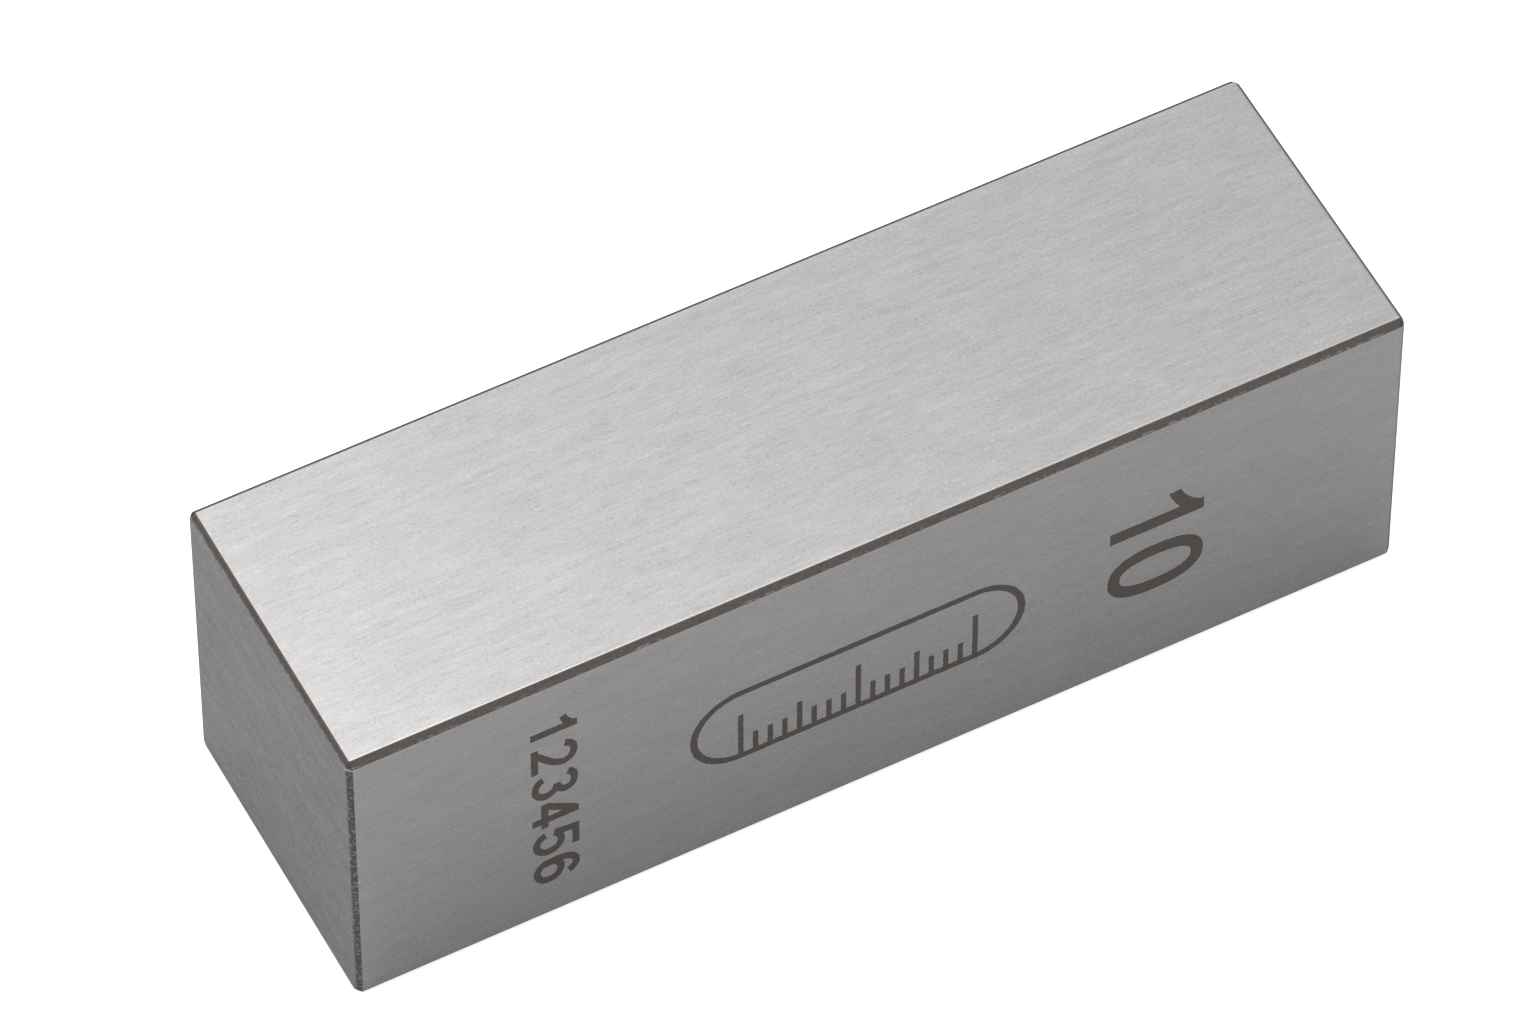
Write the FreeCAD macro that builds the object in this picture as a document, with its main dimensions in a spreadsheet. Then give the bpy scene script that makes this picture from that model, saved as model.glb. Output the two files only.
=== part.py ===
import FreeCAD, Part
import os
import Sketcher

# Rectangular gauge block of 10 mm nominal length: one hardened steel solid with
# two lapped measuring faces.  All sizes are in millimetres.
#
# Z is the direction in which the block measures, so the measuring faces are the
# bottom at Z = 0 and the top.  X runs along the long sides and Y across them.
# The origin is the middle of the lower measuring face, on which the block rests.
#
# Every edge is broken at 45 degrees, so that no burr can lift a measuring face.
# The long edges are broken first and then the whole loop of edges round each end,
# which also takes off the corners that the long breaks leave there.  Every border
# of a break runs out over a small blend.

SIZES = [
    # alias, value, meaning
    ("nominal_length", 10.0, "distance between the two measuring faces"),
    ("face_length", 30.0, "long side of a measuring face"),
    ("face_width", 9.0, "short side of a measuring face"),
    ("long_edge_break", 0.18, "leg of the break on the long edges"),
    ("end_edge_break", 0.13, "leg of the break round each end"),
    ("edge_blend", 0.08, "radius where a break meets a face or another break"),
]


def make_size_sheet(doc):
    """Write each driving size to a row of the sheet: its name, value and meaning."""
    sheet = doc.addObject("Spreadsheet::Sheet", "Sizes")
    for row, (alias, value, meaning) in enumerate(SIZES, start=1):
        sheet.set(f"A{row}", alias)
        sheet.set(f"B{row}", str(value))
        sheet.set(f"C{row}", meaning)
        sheet.setAlias(f"B{row}", alias)
    return sheet


def origin_plane(body, role):
    """Return the body's own origin plane with the given role."""
    return next(item for item in body.Origin.OriginFeatures if item.Role == role)


def draw_centred_rectangle(sketch, length, width):
    """Draw a rectangle centred on the sketch's origin and bind its sides to two sizes."""
    # starting corners only; the constraints below give the true size
    half_x, half_y = 15.0, 5.0
    corners = [
        FreeCAD.Vector(-half_x, -half_y, 0),
        FreeCAD.Vector(half_x, -half_y, 0),
        FreeCAD.Vector(half_x, half_y, 0),
        FreeCAD.Vector(-half_x, half_y, 0),
    ]
    for side in range(4):
        sketch.addGeometry(Part.LineSegment(corners[side], corners[(side + 1) % 4]), False)
    front, right, back, left = range(4)
    start_point, end_point = 1, 2
    for side in range(4):
        following = (side + 1) % 4
        sketch.addConstraint(
            Sketcher.Constraint("Coincident", side, end_point, following, start_point)
        )
    for side in (front, back):
        sketch.addConstraint(Sketcher.Constraint("Horizontal", side))
    for side in (right, left):
        sketch.addConstraint(Sketcher.Constraint("Vertical", side))

    sketch_origin, origin_point = -1, 1
    sketch.addConstraint(
        Sketcher.Constraint(
            "Symmetric", front, start_point, back, start_point, sketch_origin, origin_point
        )
    )
    side_lengths = [
        ("DistanceX", front, 2 * half_x, length),
        ("DistanceY", right, 2 * half_y, width),
    ]
    for kind, side, value, size in side_lengths:
        index = sketch.addConstraint(
            Sketcher.Constraint(kind, side, start_point, side, end_point, value)
        )
        sketch.renameConstraint(index, size)
        sketch.setExpression(f"Constraints.{size}", f"Sizes.{size}")


def edges_along_x(shape):
    """Names of the edges that run along X."""
    return [
        f"Edge{number}"
        for number, edge in enumerate(shape.Edges, start=1)
        if abs(edge.tangentAt(edge.FirstParameter).x) > 0.99
    ]


def edges_round_ends(shape):
    """Names of the edges that lie in one of the two end planes."""
    box = shape.BoundBox
    return [
        f"Edge{number}"
        for number, edge in enumerate(shape.Edges, start=1)
        if any(
            all(abs(corner.X - end) < 1e-6 for corner in edge.Vertexes)
            for end in (box.XMin, box.XMax)
        )
    ]


def make_gauge_block(doc):
    """Pad the measuring face to the nominal length, break all edges and blend the breaks."""
    body = doc.addObject("PartDesign::Body", "GaugeBlock")
    body.Label = "gauge_block"

    outline = body.newObject("Sketcher::SketchObject", "MeasuringFace")
    outline.AttachmentSupport = [(origin_plane(body, "XY_Plane"), "")]
    outline.MapMode = "FlatFace"
    draw_centred_rectangle(outline, "face_length", "face_width")

    blank = body.newObject("PartDesign::Pad", "Blank")
    blank.Profile = outline
    blank.setExpression("Length", "Sizes.nominal_length")
    doc.recompute()

    long_breaks = body.newObject("PartDesign::Chamfer", "LongEdgeBreaks")
    long_breaks.Base = (blank, edges_along_x(blank.Shape))
    long_breaks.setExpression("Size", "Sizes.long_edge_break")
    doc.recompute()

    end_breaks = body.newObject("PartDesign::Chamfer", "EndEdgeBreaks")
    end_breaks.Base = (long_breaks, edges_round_ends(long_breaks.Shape))
    end_breaks.setExpression("Size", "Sizes.end_edge_break")
    doc.recompute()

    blends = body.newObject("PartDesign::Fillet", "EdgeBlends")
    blends.Base = (end_breaks, ["Edge1"])
    blends.UseAllEdges = True
    blends.setExpression("Radius", "Sizes.edge_blend")
    doc.recompute()
    return body


def check(doc, bodies):
    """Stop if a feature failed or a body is not one valid closed solid."""
    for item in doc.Objects:
        if "Invalid" in item.State or "Error" in item.State:
            raise RuntimeError(f"{item.Label} failed: {item.State}")
    for body in bodies:
        shape = body.Shape
        if shape.isNull() or not shape.isValid() or len(shape.Solids) != 1:
            raise RuntimeError(f"{body.Label} is not one valid solid")


def main():
    doc = FreeCAD.newDocument("gauge_block")
    make_size_sheet(doc)
    doc.recompute()
    bodies = [make_gauge_block(doc)]
    doc.recompute()
    check(doc, bodies)

    os.makedirs("parts", exist_ok=True)
    for body in bodies:
        body.Shape.exportStep(f"parts/{body.Label}.step")
        box = body.Shape.BoundBox
        print(
            f"{body.Label}: {box.XLength:.3f} x {box.YLength:.3f} x {box.ZLength:.3f} mm,"
            f" {body.Shape.Volume:.2f} mm3, {len(body.Shape.Faces)} faces"
        )


main()
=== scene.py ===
import math
import random

import bmesh
import bpy
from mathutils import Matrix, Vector
from mathutils.geometry import delaunay_2d_cdt


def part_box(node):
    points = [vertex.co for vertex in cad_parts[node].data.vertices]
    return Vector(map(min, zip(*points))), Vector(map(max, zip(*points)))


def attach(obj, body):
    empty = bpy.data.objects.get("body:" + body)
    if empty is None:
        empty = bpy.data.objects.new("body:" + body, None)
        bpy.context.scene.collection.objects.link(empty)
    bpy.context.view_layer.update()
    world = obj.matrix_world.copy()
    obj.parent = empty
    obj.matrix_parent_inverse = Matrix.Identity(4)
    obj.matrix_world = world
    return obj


# Looks of a rectangular steel gauge block: two lapped measuring faces, four ground
# sides, dark broken edges and a dark etched marking on the long side that faces -Y.
# Lengths named here are in millimetres, and MM turns them into the frame's metres.
# Colours are linear, as red, green, blue and alpha.

MM = 0.001

# Edge breaks of the block: their legs, and how many legs the dark band of each end
# reaches on its crisp side, at the -X end and at the more lightly broken +X end
LONG_BREAK_LEG = 0.18
END_BREAK_LEG = 0.13
DARK_END_REACH = 1.2
LIGHT_END_REACH = 0.6

# Light bridge across each upright break, next to a measuring face: where it fades out
BRIDGE_FADE_START = 0.20
BRIDGE_FADE_END = 0.25

# Steel: bare faces, breaks, the specks left standing on them, and pits
LAPPED_STEEL = (0.422, 0.412, 0.408, 1.0)
# The side colour sits below the lapped one partly for the ground finish and partly as painted shade
# on the sides
GROUND_AND_SHADED_SIDE_STEEL = (0.380, 0.371, 0.369, 1.0)
BREAK_STEEL = (0.112, 0.102, 0.096, 1.0)
SPECK_STEEL = (0.24, 0.235, 0.23, 1.0)
PIT_STEEL = (0.16, 0.15, 0.14, 1.0)
GRAZING_TINT = (0.50, 0.50, 0.50, 1.0)
LAPPED_ROUGHNESS = 0.30
SIDE_ROUGHNESS = 0.27
BREAK_ROUGHNESS = 0.50
GRAIN_RELIEF = 0.0004

# Grinding lay: its grain's length, then its width and strength on each kind of face
LAY_LENGTH = 0.45
LAY_WAVER = 0.2
LAPPED_LAY = (0.055, 0.53)
SIDE_LAY = (0.09, 0.39)
END_LAY = (0.13, 0.88)

# Layers of the lay: share of the grain's length, of its width, and strength
LAY_LAYERS = (
    (0.22, 0.65, 0.80),
    (1.20, 1.00, 0.50),
    (5.00, 4.00, 0.35),
)

# Mottling of the breaks and of the marks, and the scattered pits
BREAK_MOTTLE_SIZE = 0.08
MARK_MOTTLE_SIZE = 0.07
PIT_SPACING = 1.4
PIT_SIZE = 0.05
PIT_SHARE = 0.035

# Etched marking, all on the -Y side
MARK_COLOUR = (0.108, 0.097, 0.088, 1.0)
MARK_ROUGHNESS = 0.55
MARK_PROUD = 0.004
MARK_SUNK = 0.02
MARK_STEP = 0.05
MARK_JITTER = 0.009
MARK_SEED = 10

SIZE_DIGIT_HEIGHT = 2.72
SIZE_DIGIT_STEM = 0.44
SIZE_DIGIT_BAR = 0.35
SIZE_BASE_X = 6.53
SIZE_ONE_TOP_Z = 6.90
SIZE_ZERO_TOP_Z = 4.96
NOUGHT_OVERSHOOT = 0.03

ROW_DIGITS = "123456"
ROW_DIGIT_HEIGHT = 1.31
ROW_DIGIT_STEM = 0.26
ROW_DIGIT_BAR = 0.20
ROW_BASE_X = -9.97
ROW_TOP_Z = 8.58
ROW_PITCH = 1.215

SCALE_CENTRE_X = -0.70
SCALE_CENTRE_Z = 4.80
SCALE_LENGTH = 9.60
SCALE_HEIGHT = 2.90
SCALE_LINE = 0.21
SCALE_TICK = 0.15
SCALE_PITCH = 0.42
SCALE_TICKS = 17
SCALE_TICK_FOOT = 0.1
SCALE_LONG_TICK = 1.75
SCALE_MIDDLE_TICK = 1.25
SCALE_SHORT_TICK = 0.8

# Table top: air under the block, half its own width in metres, its colour, how much
# it is lifted towards white where the steel mirrors it, and the rest as seen directly
FLOOR_GAP = 0.005
FLOOR_REACH = 1.5
FLOOR_COLOUR = (0.80, 0.80, 0.80, 1.0)
FLOOR_LIFT_MIRRORED = 0.16
FLOOR_LIFT_SEEN = 0.62

# Light: the room's level on the surfaces, and one soft square lamp high above the
# block, a little behind it and towards its -X end
ROOM_LEVEL = 0.55
LAMP_DIRECTION = (-0.157, 0.245, 0.80)
LAMP_DISTANCE = 200
LAMP_SIDE = 160
LAMP_RADIANCE = 2.42

# Where the block is seen from
VIEW_AZIMUTH = math.radians(-27.66)
VIEW_ELEVATION = math.radians(53.39)
VIEW_DISTANCE = 309.9
VIEW_LEFT = 0.82
VIEW_UP = 0.53
LENS = 284.7
SENSOR = 36.0


# ---------------------------------------------------------------- node helpers

def add_node(tree, kind, **settings):
    made = tree.nodes.new(kind)
    for name, value in settings.items():
        setattr(made, name, value)
    return made


def feed(tree, socket, value):
    """Joins an output to a socket, or writes a plain value on it."""
    if isinstance(value, bpy.types.NodeSocket):
        tree.links.new(value, socket)
    else:
        socket.default_value = value


def maths(tree, operation, *terms):
    made = add_node(tree, "ShaderNodeMath", operation=operation)
    for socket, term in zip(made.inputs, terms):
        feed(tree, socket, term)
    return made.outputs[0]


def remap(tree, value, low, high, to_low=0.0, to_high=1.0):
    """Smooth step of a value from one range to another, held at both ends."""
    made = add_node(tree, "ShaderNodeMapRange", interpolation_type="SMOOTHSTEP")
    for socket, term in zip(made.inputs, (value, low, high, to_low, to_high)):
        feed(tree, socket, term)
    return made.outputs["Result"]


def mix_values(tree, share, first, second):
    made = add_node(tree, "ShaderNodeMix", data_type="FLOAT")
    feed(tree, made.inputs[0], share)
    feed(tree, made.inputs[2], first)
    feed(tree, made.inputs[3], second)
    return made.outputs[0]


def mix_colours(tree, share, first, second, way="MIX"):
    made = add_node(tree, "ShaderNodeMix", data_type="RGBA", blend_type=way)
    feed(tree, made.inputs[0], share)
    feed(tree, made.inputs[6], first)
    feed(tree, made.inputs[7], second)
    return made.outputs[2]


def noise(tree, place, scale=1.0, detail=2.0, roughness=0.5):
    made = add_node(tree, "ShaderNodeTexNoise", noise_dimensions="3D")
    feed(tree, made.inputs["Vector"], place)
    feed(tree, made.inputs["Scale"], scale)
    feed(tree, made.inputs["Detail"], detail)
    feed(tree, made.inputs["Roughness"], roughness)
    return maths(tree, "SUBTRACT", made.outputs["Fac"], 0.5)


def combine(tree, x, y, z):
    made = add_node(tree, "ShaderNodeCombineXYZ")
    for socket, term in zip(made.inputs, (x, y, z)):
        feed(tree, socket, term)
    return made.outputs[0]


def split(tree, vector):
    made = add_node(tree, "ShaderNodeSeparateXYZ")
    feed(tree, made.inputs[0], vector)
    return made.outputs[0], made.outputs[1], made.outputs[2]


def place_in_mm(tree):
    """Place on the part in millimetres, and the surface's own normal."""
    coordinates = add_node(tree, "ShaderNodeTexCoord")
    scaled = add_node(tree, "ShaderNodeVectorMath", operation="SCALE")
    feed(tree, scaled.inputs[0], coordinates.outputs["Object"])
    feed(tree, scaled.inputs["Scale"], 1.0 / MM)
    return scaled.outputs[0], coordinates.outputs["Normal"]


def new_group(name, inputs, outputs):
    """A shader node group with float sockets. inputs gives each one's plain value."""
    group = bpy.data.node_groups.new(name, "ShaderNodeTree")
    for socket_name, value in inputs.items():
        socket = group.interface.new_socket(
            name=socket_name, in_out="INPUT", socket_type="NodeSocketFloat"
        )
        socket.default_value = value
    for socket_name in outputs:
        group.interface.new_socket(
            name=socket_name, in_out="OUTPUT", socket_type="NodeSocketFloat"
        )
    entry = add_node(group, "NodeGroupInput")
    leaving = add_node(group, "NodeGroupOutput")
    return group, entry.outputs, leaving.inputs


def use_group(tree, group, **values):
    """Places a group in a material, with that material's own values."""
    made = add_node(tree, "ShaderNodeGroup", node_tree=group)
    for name, value in values.items():
        feed(tree, made.inputs[name.replace("_", " ")], value)
    return made.outputs


# ------------------------------------------------------------ surface effects

def make_grinding_lay():
    """Fine parallel scratches, along X on the long faces and along Y on the ends."""
    group, given, out = new_group(
        "grinding_lay",
        {"Length": 0.5, "Width": 0.06, "Waver": 0.05},
        ["Grain", "Cloud"],
    )
    place, normal = place_in_mm(group)
    x, y, z = split(group, place)
    facing_along_x = maths(group, "ABSOLUTE", split(group, normal)[0])
    end_face = maths(group, "GREATER_THAN", facing_along_x, 0.6)
    along = mix_values(group, end_face, x, y)
    across = mix_values(group, end_face, maths(group, "ADD", y, z), maths(group, "ADD", x, z))

    slow_place = combine(group, maths(group, "MULTIPLY", along, 0.8), across, end_face)
    drift = maths(group, "MULTIPLY", noise(group, slow_place, 1.1), given["Waver"])
    bent = maths(group, "ADD", across, drift)

    grain = 0.0
    for number, (length_share, width_share, weight) in enumerate(LAY_LAYERS):
        length = maths(group, "MULTIPLY", given["Length"], length_share)
        width = maths(group, "MULTIPLY", given["Width"], width_share)
        stretched = combine(
            group,
            maths(group, "DIVIDE", along, length),
            maths(group, "DIVIDE", bent, width),
            maths(group, "ADD", end_face, 5.0 * number),
        )
        grain = maths(group, "MULTIPLY_ADD", noise(group, stretched, 1.0, 1.0), weight, grain)
    group.links.new(grain, out["Grain"])

    patch_place = combine(group, maths(group, "MULTIPLY", along, 0.6), across, 9.0)
    group.links.new(noise(group, patch_place, 0.9, 3.0), out["Cloud"])
    return group


def make_speckle():
    """Fine even mottling of a surface that was etched or stoned."""
    group, given, out = new_group("speckle", {"Size": 0.05}, ["Speckle"])
    place, _ = place_in_mm(group)
    scale = maths(group, "DIVIDE", 1.0, given["Size"])
    group.links.new(noise(group, place, scale, 2.0, 0.6), out["Speckle"])
    return group


def make_pits():
    """A few tiny round pits, far apart."""
    group, given, out = new_group(
        "pits", {"Spacing": 1.5, "Size": 0.06, "Share": 0.1}, ["Pit"]
    )
    place, _ = place_in_mm(group)
    cells = add_node(group, "ShaderNodeTexVoronoi", voronoi_dimensions="3D", feature="F1")
    feed(group, cells.inputs["Vector"], place)
    feed(group, cells.inputs["Scale"], maths(group, "DIVIDE", 1.0, given["Spacing"]))
    distance = maths(group, "MULTIPLY", cells.outputs["Distance"], given["Spacing"])
    lot = split(group, cells.outputs["Color"])[0]
    chosen = maths(group, "LESS_THAN", lot, given["Share"])
    inner = maths(group, "MULTIPLY", given["Size"], 0.3)
    dot = remap(group, distance, inner, given["Size"], 1.0, 0.0)
    group.links.new(maths(group, "MULTIPLY", dot, chosen), out["Pit"])
    return group


def make_edge_break():
    """Masks of the broken edges, from the distances to the three nearest outer planes."""
    group, given, out = new_group(
        "edge_break",
        {"Half Length": 15.0, "Half Width": 4.5, "Height": 10.0, "Long Leg": 0.18, "End Leg": 0.13},
        ["Break", "Fringe", "Rim Highlight", "Corner"],
    )
    place, _ = place_in_mm(group)
    x, y, z = split(group, place)
    half_height = maths(group, "MULTIPLY", given["Height"], 0.5)
    gap_x = maths(group, "SUBTRACT", given["Half Length"], maths(group, "ABSOLUTE", x))
    gap_y = maths(group, "SUBTRACT", given["Half Width"], maths(group, "ABSOLUTE", y))
    from_middle = maths(group, "ABSOLUTE", maths(group, "SUBTRACT", z, half_height))
    gap_z = maths(group, "SUBTRACT", half_height, from_middle)
    rag = noise(group, place, 6.0, 4.0, 0.7)

    def band(crisp_gap, soft_gap, leg, fade_start, fade_end, ragged, crisp_limit=1.0):
        """Across one edge: its dark band, its softer half, and the distance in legs."""
        on_soft = remap(group, maths(group, "SUBTRACT", crisp_gap, soft_gap), -0.03, 0.03)
        shift = maths(group, "MULTIPLY", maths(group, "MULTIPLY", rag, ragged), on_soft)
        reach = maths(group, "ADD", maths(group, "MAXIMUM", crisp_gap, soft_gap), shift)
        in_legs = maths(group, "DIVIDE", reach, leg)
        start = mix_values(group, on_soft, maths(group, "MULTIPLY", crisp_limit, 0.95), fade_start)
        end = mix_values(group, on_soft, maths(group, "MULTIPLY", crisp_limit, 1.04), fade_end)
        return remap(group, in_legs, start, end, 1.0, 0.0), on_soft, in_legs

    # Long edges are crisp on both sides, the ends run out softly over the end faces,
    # and the +X end was broken more lightly than the other
    long_leg, end_leg = given["Long Leg"], given["End Leg"]
    end_reach = remap(group, x, -1.0, 1.0, DARK_END_REACH, LIGHT_END_REACH)
    long_band, long_soft, long_legs = band(gap_z, gap_y, long_leg, 0.94, 1.05, 0.02)
    end_band, end_soft, end_legs = band(gap_z, gap_x, end_leg, 0.62, 1.45, 0.07, end_reach)
    upright_band, _, _ = band(gap_y, gap_x, end_leg, 0.62, 1.35, 0.05, end_reach)

    # A light bridge crosses each upright break just under its corner
    below_corner = remap(group, gap_z, BRIDGE_FADE_START, BRIDGE_FADE_END)
    bridged_band = maths(group, "MULTIPLY", upright_band, below_corner)
    dark = maths(group, "MAXIMUM", maths(group, "MAXIMUM", long_band, end_band), bridged_band)
    group.links.new(dark, out["Break"])

    # Pale specks left standing in a row near the lower border of the dark band
    stretched = combine(group, maths(group, "MULTIPLY", x, 0.45), y, z)
    speck = remap(group, noise(group, stretched, 14.0, 2.0, 0.5), 0.02, 0.10)
    run = remap(group, noise(group, place, 0.7, 2.0, 0.6), -0.16, 0.10)
    row_start = remap(group, long_legs, 0.68, 0.80)
    row_end = remap(group, long_legs, 0.88, 0.97, 1.0, 0.0)
    row = maths(group, "MULTIPLY", row_start, row_end)
    long_row = maths(group, "MULTIPLY", maths(group, "MULTIPLY", row, long_soft), run)
    end_row = maths(group, "MULTIPLY", remap(group, end_legs, 0.70, 0.90), end_soft)
    rows = maths(group, "MAXIMUM", long_row, end_row)
    group.links.new(maths(group, "MULTIPLY", speck, rows), out["Fringe"])

    # Painted highlight, partly standing for a real bright burr: a thin bright line on the measuring
    # face just outside each long break
    rim_start = remap(group, long_legs, 1.02, 1.10)
    rim_end = remap(group, long_legs, 1.25, 1.50, 1.0, 0.0)
    just_outside = maths(group, "MULTIPLY", rim_start, rim_end)
    on_lapped = maths(group, "SUBTRACT", 1.0, long_soft)
    group.links.new(maths(group, "MULTIPLY", just_outside, on_lapped), out["Rim Highlight"])

    to_corner = maths(group, "MAXIMUM", maths(group, "MAXIMUM", gap_x, gap_y), gap_z)
    group.links.new(remap(group, to_corner, 0.15, 0.17, 1.0, 0.0), out["Corner"])
    return group


# ------------------------------------------------------------------ materials

def varied(tree, base, pattern, strength):
    """A base value plus a share of a pattern."""
    return maths(tree, "MULTIPLY_ADD", pattern, strength, base)


def times_colour(tree, colour, factor):
    """A colour made lighter or darker by a value."""
    return mix_colours(tree, 1.0, colour, combine(tree, factor, factor, factor), "MULTIPLY")


def new_material(name):
    material = bpy.data.materials.new(name)
    material.use_nodes = True
    tree = material.node_tree
    tree.nodes.clear()
    surface = add_node(tree, "ShaderNodeBsdfPrincipled")
    ending = add_node(tree, "ShaderNodeOutputMaterial")
    tree.links.new(surface.outputs["BSDF"], ending.inputs["Surface"])
    return material, tree, surface


def make_gauge_steel(lay, speckle, pits, edge_break, size):
    """Hardened steel: bright lapped measuring faces, ground sides darker partly by their finish and
    partly as painted shade, dark breaks, and a painted highlight beside the long breaks.
    """
    material, tree, surface = new_material("gauge_steel")
    _, normal = place_in_mm(tree)
    facing_x, _, facing_z = split(tree, normal)
    lapped = remap(tree, maths(tree, "ABSOLUTE", facing_z), 0.8, 0.95)
    at_end = remap(tree, maths(tree, "ABSOLUTE", facing_x), 0.8, 0.95)

    def by_face(on_lapped, on_side, on_end):
        return mix_values(tree, lapped, mix_values(tree, at_end, on_side, on_end), on_lapped)

    grain_width = by_face(LAPPED_LAY[0], SIDE_LAY[0], END_LAY[0])
    grain_strength = by_face(LAPPED_LAY[1], SIDE_LAY[1], END_LAY[1])
    scratches = use_group(tree, lay, Length=LAY_LENGTH, Width=grain_width, Waver=LAY_WAVER)
    edges = use_group(
        tree, edge_break,
        Half_Length=size.x / 2, Half_Width=size.y / 2, Height=size.z,
        Long_Leg=LONG_BREAK_LEG, End_Leg=END_BREAK_LEG,
    )
    mottle = use_group(tree, speckle, Size=BREAK_MOTTLE_SIZE)
    dots = use_group(tree, pits, Spacing=PIT_SPACING, Size=PIT_SIZE, Share=PIT_SHARE)

    # Bare steel, toned by its grain, by slow clouds and by the painted highlight along the long
    # breaks
    # Sides take a darker colour than the lapped faces, partly for their ground finish and partly as
    # painted shade
    bare = mix_colours(tree, lapped, GROUND_AND_SHADED_SIDE_STEEL, LAPPED_STEEL)
    grain_tone = varied(tree, 1.0, scratches["Grain"], grain_strength)
    cloud_tone = varied(tree, 1.0, scratches["Cloud"], 0.10)
    rim_highlight_tone = varied(tree, 1.0, edges["Rim Highlight"], 0.08)
    tone = maths(tree, "MULTIPLY", maths(tree, "MULTIPLY", grain_tone, cloud_tone), rim_highlight_tone)
    pitted = mix_colours(tree, dots["Pit"], times_colour(tree, bare, tone), PIT_STEEL)

    # Dark breaks, darker still at the corners
    mottle_tone = varied(tree, 1.0, mottle["Speckle"], 0.9)
    corner_tone = varied(tree, 1.0, edges["Corner"], -0.25)
    break_tone = maths(tree, "MULTIPLY", mottle_tone, corner_tone)
    break_dark = times_colour(tree, BREAK_STEEL, break_tone)
    fringed = mix_colours(tree, edges["Fringe"], break_dark, SPECK_STEEL)
    colour = mix_colours(tree, edges["Break"], pitted, fringed)
    tree.links.new(colour, surface.inputs["Base Color"])
    surface.inputs["Specular Tint"].default_value = GRAZING_TINT
    surface.inputs["Metallic"].default_value = 1.0

    finish = mix_values(tree, lapped, SIDE_ROUGHNESS, LAPPED_ROUGHNESS)
    uneven = varied(tree, finish, scratches["Grain"], 0.10)
    rough = mix_values(tree, edges["Break"], uneven, BREAK_ROUGHNESS)
    tree.links.new(rough, surface.inputs["Roughness"])

    relief = add_node(tree, "ShaderNodeBump")
    relief.inputs["Strength"].default_value = 0.4
    relief.inputs["Distance"].default_value = GRAIN_RELIEF * MM
    tree.links.new(scratches["Grain"], relief.inputs["Height"])
    tree.links.new(relief.outputs["Normal"], surface.inputs["Normal"])
    return material


def make_etched_mark(speckle, lay):
    """Dark matt brown-grey of an etched marking, over the steel's own grain."""
    material, tree, surface = new_material("etched_mark")
    mottle = use_group(tree, speckle, Size=MARK_MOTTLE_SIZE)
    scratches = use_group(tree, lay, Length=LAY_LENGTH, Width=LAPPED_LAY[0], Waver=LAY_WAVER)
    mottle_tone = varied(tree, 1.0, mottle["Speckle"], 0.8)
    grain_tone = varied(tree, 1.0, scratches["Grain"], 0.12)
    tone = maths(tree, "MULTIPLY", mottle_tone, grain_tone)
    tree.links.new(times_colour(tree, MARK_COLOUR, tone), surface.inputs["Base Color"])
    surface.inputs["Metallic"].default_value = 1.0
    rough = varied(tree, MARK_ROUGHNESS, mottle["Speckle"], 0.2)
    tree.links.new(rough, surface.inputs["Roughness"])
    return material


# ------------------------------------------------------------------- marking
# A mark is drawn in its own plane: u in the reading direction and v upward, in
# millimetres. Every stroke is a chain of four-cornered patches, and their union
# is raised into one thin closed solid.

def straight(start, end):
    count = max(1, round(math.dist(start, end) / MARK_STEP))
    return [
        (start[0] + (end[0] - start[0]) * i / count, start[1] + (end[1] - start[1]) * i / count)
        for i in range(count + 1)
    ]


def round_stretch(centre, across, up, start, end, squareness=2.0):
    """Part of an ellipse, in degrees from the +u direction; above 2 its sides flatten."""
    turn = math.radians(end - start)
    count = max(2, round(abs(turn) * max(across, up) / MARK_STEP))
    points = []
    for i in range(count + 1):
        angle = math.radians(start) + turn * i / count
        side, rise = math.cos(angle), math.sin(angle)
        points.append((
            centre[0] + across * math.copysign(abs(side) ** (2.0 / squareness), side),
            centre[1] + up * math.copysign(abs(rise) ** (2.0 / squareness), rise),
        ))
    return points


def bow(start, pull, end, count=None):
    """A curve that leaves start towards pull and arrives at end from pull."""
    count = count or max(2, round(math.dist(start, end) / MARK_STEP))
    points = []
    for i in range(count + 1):
        t = i / count
        weights = ((1 - t) ** 2, 2 * t * (1 - t), t * t)
        points.append(tuple(
            weights[0] * start[k] + weights[1] * pull[k] + weights[2] * end[k] for k in (0, 1)
        ))
    return points


def patches_between(first, second):
    return [
        (first[i], first[i + 1], second[i + 1], second[i])
        for i in range(len(first) - 1)
    ]


def stroke(points, stem, bar, chance, closed=False):
    """Patches along a line, stem wide where it runs upward and bar wide where it runs flat."""
    count = len(points) - 1 if closed else len(points)
    left, right = [], []
    for i in range(count):
        if closed:
            before, after = points[i - 1] if i else points[count - 1], points[(i + 1) % count]
        else:
            before, after = points[max(i - 1, 0)], points[min(i + 1, count - 1)]
        run = Vector(after) - Vector(before)
        normal = Vector((-run.y, run.x)).normalized()
        reach = Vector((normal.x * stem / 2, normal.y * bar / 2))
        for side, way in ((left, 1), (right, -1)):
            wobble = normal * chance.uniform(-MARK_JITTER, MARK_JITTER)
            side.append(tuple(Vector(points[i]) + reach * way + wobble))
    if closed:
        left.append(left[0])
        right.append(right[0])
    return patches_between(left, right)


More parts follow.
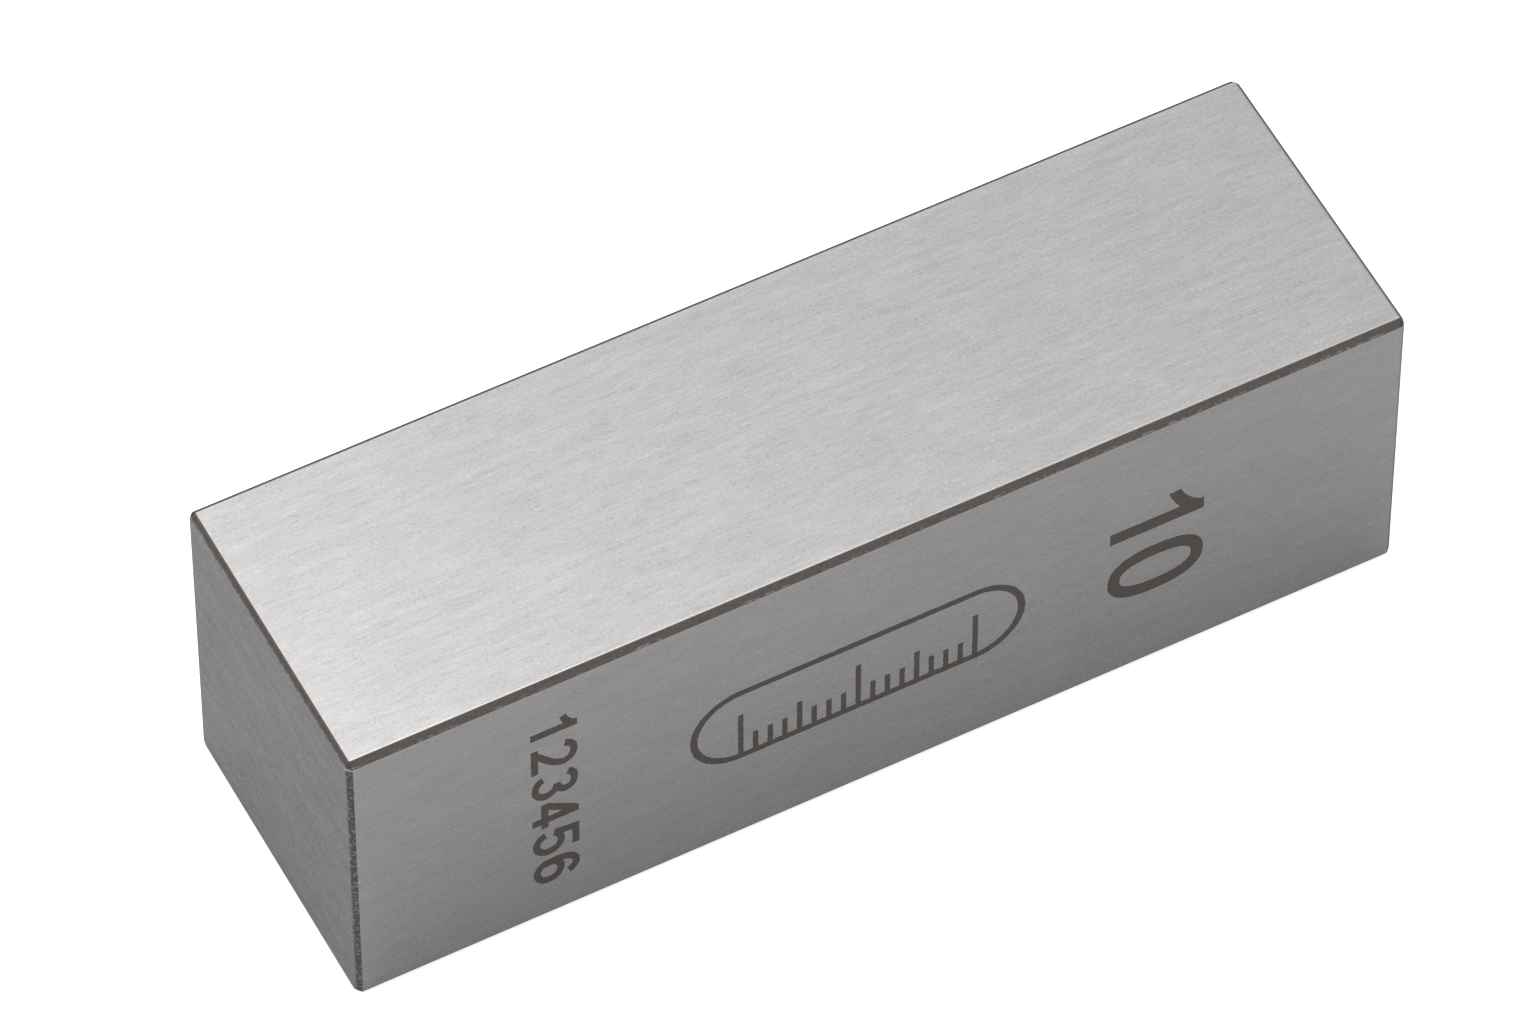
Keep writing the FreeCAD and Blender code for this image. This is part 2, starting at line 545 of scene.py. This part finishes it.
def size_one(height, stem, chance):
    """A one with a hollow-curved flag and no foot."""
    middle = 0.36 * height
    flag_steps = 14
    upper = bow(
        (middle - 0.06 * height, height),
        (middle - 0.14 * height, 0.83 * height),
        (0.0, 0.745 * height),
        flag_steps,
    )
    lower = bow(
        (middle - 0.05 * height, 0.77 * height),
        (middle - 0.19 * height, 0.665 * height),
        (0.015 * height, 0.62 * height),
        flag_steps,
    )
    upright = stroke(straight((middle, 0.0), (middle, height)), stem, stem, chance)
    return upright + patches_between(upper, lower)


def digit_strokes(digit, width, height, stem, bar):
    """Centre lines of a plain upright digit as tall and wide as given, ends included."""
    left, right, middle = stem / 2, width - stem / 2, width / 2
    low, high = bar / 2, height - bar / 2
    reach = right - middle
    if digit == "0":
        return [round_stretch((middle, height / 2), reach, height / 2 - low, 0, 360, 2.4)]
    if digit == "1":
        return [
            straight((0.62 * width, 0), (0.62 * width, height)),
            bow(
                (0.62 * width, 0.93 * height),
                (0.5 * width, 0.76 * height),
                (0.16 * width, 0.70 * height),
            ),
        ]
    if digit == "2":
        bowl = round_stretch((middle, 0.70 * height), reach, high - 0.70 * height, 172, -25)
        return [
            bowl + bow(bowl[-1], (0.80 * width, 0.47 * height), (0.16 * width, low))[1:],
            straight((0.0, low), (width, low)),
        ]
    if digit == "3":
        upper = 0.545 * height
        return [
            round_stretch((middle, (high + upper) / 2), reach * 0.92, (high - upper) / 2, 165, -90),
            round_stretch((middle, (upper + low) / 2), reach, (upper - low) / 2, 90, -165),
        ]
    if digit == "4":
        return [
            straight((0.68 * width, 0), (0.68 * width, height)),
            straight((0, 0.27 * height), (width, 0.27 * height)),
            straight((0.09 * width, 0.29 * height), (0.62 * width, high)),
        ]
    if digit == "5":
        return [
            straight((0.17 * width, high), (0.93 * width, high)),
            straight((0.23 * width, height), (0.14 * width, 0.46 * height)),
            round_stretch((middle, 0.345 * height), reach, 0.345 * height - low, 150, -165),
        ]
    return [
        round_stretch((middle, 0.335 * height), reach, 0.335 * height - low, 0, 360),
        round_stretch((middle, height / 2), reach, high - height / 2, 215, 35, 2.2),
    ]


def digit_patches(digit, width, height, stem, bar, chance):
    patches = []
    for line in digit_strokes(digit, width, height, stem, bar):
        patches += stroke(line, stem, bar, chance, closed=line[0] == line[-1])
    return patches


def size_marking(chance):
    """Nominal size, 10, read downward along the end of the side."""
    one = size_one(SIZE_DIGIT_HEIGHT, SIZE_DIGIT_STEM, chance)
    width = 0.70 * SIZE_DIGIT_HEIGHT
    height = SIZE_DIGIT_HEIGHT + 2 * NOUGHT_OVERSHOOT
    nought = digit_patches("0", width, height, SIZE_DIGIT_STEM, SIZE_DIGIT_BAR, chance)
    placed = one + move_patches(nought, SIZE_ONE_TOP_Z - SIZE_ZERO_TOP_Z, -NOUGHT_OVERSHOOT)
    return downward(placed, SIZE_BASE_X, SIZE_ONE_TOP_Z)


def row_marking(chance):
    """A plain row of digits, read downward."""
    patches = []
    width = 0.77 * ROW_DIGIT_HEIGHT
    for place, digit in enumerate(ROW_DIGITS):
        glyph = digit_patches(digit, width, ROW_DIGIT_HEIGHT, ROW_DIGIT_STEM, ROW_DIGIT_BAR, chance)
        patches += move_patches(glyph, place * ROW_PITCH, 0.0)
    return downward(patches, ROW_BASE_X, ROW_TOP_Z)


def scale_marking(chance):
    """A plain graduated scale in a round-ended frame, read along the side."""
    middle = (SCALE_LENGTH / 2, SCALE_HEIGHT / 2)
    end = SCALE_HEIGHT / 2 - SCALE_LINE / 2
    flat = SCALE_LENGTH / 2 - SCALE_HEIGHT / 2
    outline = (
        round_stretch((middle[0] + flat, middle[1]), end, end, -90, 90)
        + straight((middle[0] + flat, middle[1] + end), (middle[0] - flat, middle[1] + end))[1:-1]
        + round_stretch((middle[0] - flat, middle[1]), end, end, 90, 270)
        + straight((middle[0] - flat, middle[1] - end), (middle[0] + flat, middle[1] - end))[1:]
    )
    patches = stroke(outline, SCALE_LINE, SCALE_LINE, chance, closed=True)
    first = middle[0] - SCALE_PITCH * (SCALE_TICKS - 1) / 2
    for tick in range(SCALE_TICKS):
        from_middle = abs(tick - SCALE_TICKS // 2)
        tall = SCALE_SHORT_TICK
        if from_middle % 8 == 0:
            tall = SCALE_LONG_TICK
        elif from_middle % 4 == 0:
            tall = SCALE_MIDDLE_TICK
        u = first + tick * SCALE_PITCH
        line = straight((u, SCALE_TICK_FOOT), (u, SCALE_TICK_FOOT + tall))
        patches += stroke(line, SCALE_TICK, SCALE_TICK, chance)
    return [
        tuple((SCALE_CENTRE_X - middle[0] + u, SCALE_CENTRE_Z - middle[1] + v) for u, v in patch)
        for patch in patches
    ]


def move_patches(patches, along, up):
    return [tuple((u + along, v + up) for u, v in patch) for patch in patches]


def downward(patches, base_x, top_z):
    """Turns a mark so that it reads down the side, with its feet towards -X."""
    return [tuple((base_x + v, top_z - u) for u, v in patch) for patch in patches]


def turns_left(patch):
    """Whether the corners go round anticlockwise."""
    following = patch[1:] + patch[:1]
    return sum(a[0] * b[1] - b[0] * a[1] for a, b in zip(patch, following)) > 0


def raise_mark(name, patches, face_y, material):
    """One thin closed solid of the patches' union, let into the side at face_y."""
    corners, faces = [], []
    for patch in patches:
        face = list(range(len(corners), len(corners) + len(patch)))
        faces.append(face if turns_left(patch) else face[::-1])
        corners += [Vector(corner) for corner in patch]
    places, _, covered, _, _, sources = delaunay_2d_cdt(corners, [], faces, 1, 1e-5)
    covered = [face for face, source in zip(covered, sources) if source]

    shape = bmesh.new()
    top = [shape.verts.new((p.x * MM, face_y - MARK_PROUD * MM, p.y * MM)) for p in places]
    base = [shape.verts.new((p.x * MM, face_y + MARK_SUNK * MM, p.y * MM)) for p in places]
    walls = set()
    for face in covered:
        shape.faces.new([top[i] for i in face])
        shape.faces.new([base[i] for i in reversed(face)])
        for a, b in zip(face, face[1:] + face[:1]):
            if (b, a) in walls:
                walls.remove((b, a))
            else:
                walls.add((a, b))
    for a, b in sorted(walls):
        shape.faces.new([top[b], top[a], base[a], base[b]])
    loose = [corner for corner in shape.verts if not corner.link_faces]
    bmesh.ops.delete(shape, geom=loose, context="VERTS")
    bmesh.ops.recalc_face_normals(shape, faces=shape.faces)

    mesh = bpy.data.meshes.new(name)
    shape.to_mesh(mesh)
    shape.free()
    mark = bpy.data.objects.new(name, mesh)
    bpy.context.scene.collection.objects.link(mark)
    mark.data.materials.append(material)
    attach(mark, "root")
    return mark


# ------------------------------------------------------- floor, light, camera

def seen_directly(tree):
    """1 for rays that see the background itself: camera, mirror and glass rays."""
    path = add_node(tree, "ShaderNodeLightPath")
    seen = path.outputs["Is Camera Ray"]
    for other in ("Is Glossy Ray", "Is Transmission Ray"):
        seen = maths(tree, "MAXIMUM", seen, path.outputs[other])
    return seen


def make_floor(height):
    """A pale table top that shows white, keeps a soft shadow and is clear from below."""
    material, tree, surface = new_material("pale_floor")
    surface.inputs["Base Color"].default_value = FLOOR_COLOUR
    surface.inputs["Roughness"].default_value = 1.0
    surface.inputs["Specular IOR Level"].default_value = 0.0
    surface.inputs["Emission Color"].default_value = (1.0, 1.0, 1.0, 1.0)
    path = add_node(tree, "ShaderNodeLightPath")
    mirrored = maths(tree, "MULTIPLY", seen_directly(tree), FLOOR_LIFT_MIRRORED)
    lift = maths(tree, "MULTIPLY_ADD", path.outputs["Is Camera Ray"], FLOOR_LIFT_SEEN, mirrored)
    tree.links.new(lift, surface.inputs["Emission Strength"])

    from_below = add_node(tree, "ShaderNodeNewGeometry").outputs["Backfacing"]
    hidden = maths(tree, "MULTIPLY", from_below, path.outputs["Is Camera Ray"])
    tree.links.new(maths(tree, "SUBTRACT", 1.0, hidden), surface.inputs["Alpha"])

    mesh = bpy.data.meshes.new("floor")
    outline = [(-1, -1), (1, -1), (1, 1), (-1, 1)]
    corners = [(x * FLOOR_REACH, y * FLOOR_REACH, height) for x, y in outline]
    mesh.from_pydata(corners, [], [(0, 1, 2, 3)])
    floor = bpy.data.objects.new("floor", mesh)
    floor.data.materials.append(material)
    bpy.context.scene.collection.objects.link(floor)


def make_room():
    """A plain pale room all round."""
    world = bpy.data.worlds.new("room")
    world.use_nodes = True
    tree = world.node_tree
    backdrop = tree.nodes["Background"]
    backdrop.inputs["Color"].default_value = (1.0, 1.0, 1.0, 1.0)
    level = mix_values(tree, seen_directly(tree), ROOM_LEVEL, 1.0)
    tree.links.new(level, backdrop.inputs["Strength"])
    bpy.context.scene.world = world


def make_softbox(name, aim, direction, distance, side, radiance):
    """A square soft lamp of a given brightness that faces the aim."""
    lamp = bpy.data.lights.new(name, "AREA")
    lamp.shape = "SQUARE"
    lamp.size = side * MM
    lamp.energy = radiance * math.pi * lamp.size ** 2
    holder = bpy.data.objects.new(name, lamp)
    facing = Vector(direction).normalized()
    holder.location = aim + facing * distance * MM
    holder.rotation_euler = facing.to_track_quat("Z", "Y").to_euler()
    bpy.context.scene.collection.objects.link(holder)


def make_camera(centre):
    back = Vector((
        math.sin(VIEW_AZIMUTH) * math.cos(VIEW_ELEVATION),
        -math.cos(VIEW_AZIMUTH) * math.cos(VIEW_ELEVATION),
        math.sin(VIEW_ELEVATION),
    ))
    turn = back.to_track_quat("Z", "Y")
    right, up = turn @ Vector((1, 0, 0)), turn @ Vector((0, 1, 0))
    aim = centre + (up * VIEW_UP - right * VIEW_LEFT) * MM
    camera = bpy.data.cameras.new("camera")
    camera.lens = LENS
    camera.sensor_width = SENSOR
    camera.clip_start = 0.01
    holder = bpy.data.objects.new("camera", camera)
    holder.location = aim + back * VIEW_DISTANCE * MM
    holder.rotation_euler = turn.to_euler()
    bpy.context.scene.collection.objects.link(holder)
    bpy.context.scene.camera = holder


# ------------------------------------------------------------------ the scene

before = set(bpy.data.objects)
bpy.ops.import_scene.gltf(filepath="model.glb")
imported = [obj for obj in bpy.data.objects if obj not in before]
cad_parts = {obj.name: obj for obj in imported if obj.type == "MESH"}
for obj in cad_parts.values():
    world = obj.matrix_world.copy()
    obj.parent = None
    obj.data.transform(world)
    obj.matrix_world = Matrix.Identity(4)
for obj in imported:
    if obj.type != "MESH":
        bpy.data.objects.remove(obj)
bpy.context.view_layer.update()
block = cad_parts["gauge_block"]
block_low, block_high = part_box("gauge_block")
block_centre = (block_low + block_high) / 2

lay = make_grinding_lay()
speckle = make_speckle()
block_size = (block_high - block_low) / MM
steel = make_gauge_steel(lay, speckle, make_pits(), make_edge_break(), block_size)
for slot in block.material_slots:
    slot.material = steel

mark_finish = make_etched_mark(speckle, lay)
chance = random.Random(MARK_SEED)
raise_mark("size_marking", size_marking(chance), block_low.y, mark_finish)
raise_mark("row_marking", row_marking(chance), block_low.y, mark_finish)
raise_mark("scale_marking", scale_marking(chance), block_low.y, mark_finish)

make_floor(block_low.z - FLOOR_GAP * MM)
make_room()
make_softbox("key", block_centre, LAMP_DIRECTION, LAMP_DISTANCE, LAMP_SIDE, LAMP_RADIANCE)
make_camera(block_centre)
bpy.context.scene.view_settings.view_transform = "Standard"
